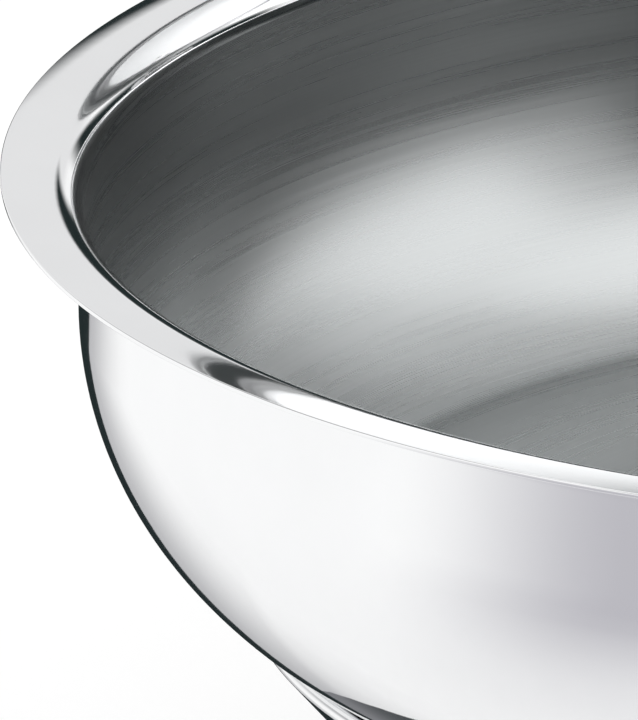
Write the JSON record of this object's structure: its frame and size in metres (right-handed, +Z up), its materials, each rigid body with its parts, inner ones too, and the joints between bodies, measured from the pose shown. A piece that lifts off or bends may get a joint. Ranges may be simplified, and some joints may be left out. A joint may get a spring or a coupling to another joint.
{
  "type": "soup kettle",
  "caption": "Electric soup kettle: wide steel bowl with a flat rim, heated base with knob, lamp and switch, and a lid on a back hinge, standing open.",
  "frame": {"origin": "on the table under the middle of the bowl", "axes": "+Z up, -Y towards the front with the knob, +Y towards the hinge, +X to the right of someone who stands at the front"},
  "size_m": [0.44, 0.5713, 0.6085],
  "materials": {
    "polished_bowl": "mirror polished outside and on the rim, satin inside with fine circular brush lines",
    "polished_cap": "mirror polished stainless steel",
    "polished_lid": "mirror polished outside, satin inside",
    "satin_plinth": "fine brushed lines round the side",
    "satin_plate": "plain mill finish",
    "cast_spreader": "machined flat",
    "element_sheath": "matt, darkened by heat",
    "pressed_clamp": "pressed sheet, satin",
    "steel_fixings": "plain bright steel",
    "zinc_fixings": "zinc plated, dull",
    "brass_bushings": "turned, satin",
    "insulation_felt": "soft pressed fibre",
    "cutout_case": "dark moulded body",
    "copper_sensor": "bright copper, satin",
    "black_rubber": "matt moulded rubber",
    "dial_steel": "satin disc with plain engraved numbers",
    "spindle_steel": "ground bright",
    "knob_black": "fine satin moulding",
    "bezel_chrome": "bright plated",
    "lens_amber": "clear tinted plastic",
    "lamp_glass": "clear glass with tinned ends",
    "black_plastic": "smooth moulding",
    "rocker_red": "glossy moulding with a white line and ring",
    "brown_lead": "smooth silicone sleeve",
    "white_lead": "braided sleeve",
    "blue_lead": "smooth silicone sleeve",
    "green_lead": "green sleeve with a yellow stripe",
    "satin_bracket": "satin",
    "clip_spring": "dark spring steel",
    "white_nylon": "smooth moulding",
    "polished_handle": "mirror polished"
  },
  "bodies": {
    "base": {"kettle_bowl": "polished_bowl", "base_cap": "polished_cap", "spreader_plate": "cast_spreader", "heating_element": "element_sheath", "element_clamp": "pressed_clamp", "clamp_rivets": "steel_fixings", "element_bushings": "brass_bushings", "insulation_disc": "insulation_felt", "thermal_cutout": "cutout_case", "sensor_bulb": "copper_sensor", "bulb_clip": "pressed_clamp", "spreader_screws": "steel_fixings", "cap_studs": "steel_fixings", "stud_nuts": "zinc_fixings", "plinth_gasket": "black_rubber", "plinth_shell": "satin_plinth", "bottom_plate": "satin_plate", "plate_screws": "zinc_fixings", "rubber_feet": "black_rubber", "foot_screws": "zinc_fixings", "foot_nuts": "zinc_fixings", "thermostat_body": "cutout_case", "thermostat_nut": "zinc_fixings", "dial_plate": "dial_steel", "pilot_bezel": "bezel_chrome", "pilot_lens": "lens_amber", "pilot_lamp": "lamp_glass", "switch_frame": "black_plastic", "power_inlet": "black_plastic", "inlet_pins": "brass_bushings", "inlet_screws": "zinc_fixings", "earth_stud": "zinc_fixings", "live_lead": "brown_lead", "switched_lead": "brown_lead", "element_lead": "white_lead", "cutout_lead": "white_lead", "neutral_lead": "blue_lead", "earth_lead": "green_lead", "hinge_bracket": "satin_bracket", "bracket_rivets": "steel_fixings", "hinge_pin": "steel_fixings", "pin_clip": "clip_spring", "hinge_washers": "white_nylon", "open_stop": "black_rubber"},
    "lid": {"hinge_arm": "satin_bracket", "arm_rivets": "steel_fixings", "lid_shell": "polished_lid", "lid_handle_bar": "polished_handle", "handle_posts": "polished_handle", "handle_screws": "steel_fixings"},
    "knob": {"control_knob": "knob_black", "thermostat_spindle": "spindle_steel"},
    "rocker": {"switch_rocker": "rocker_red"}
  },
  "joints": [
    {"name": "lid_hinge", "type": "hinge", "parent": "base", "child": "lid", "pos_m": [0, 0.232, 0.164], "axis": [1, 0, 0], "range_deg": [0, 100]},
    {"name": "knob_turn", "type": "hinge", "parent": "base", "child": "knob", "pos_m": [0, -0.14, 0.03075], "axis": [0, 1, 0], "range_deg": [0, 270]},
    {"name": "switch_rock", "type": "hinge", "parent": "base", "child": "rocker", "pos_m": [0.037, -0.136, 0.03075], "axis": [1, 0, 0], "range_deg": [-16, 0]}
  ]
}
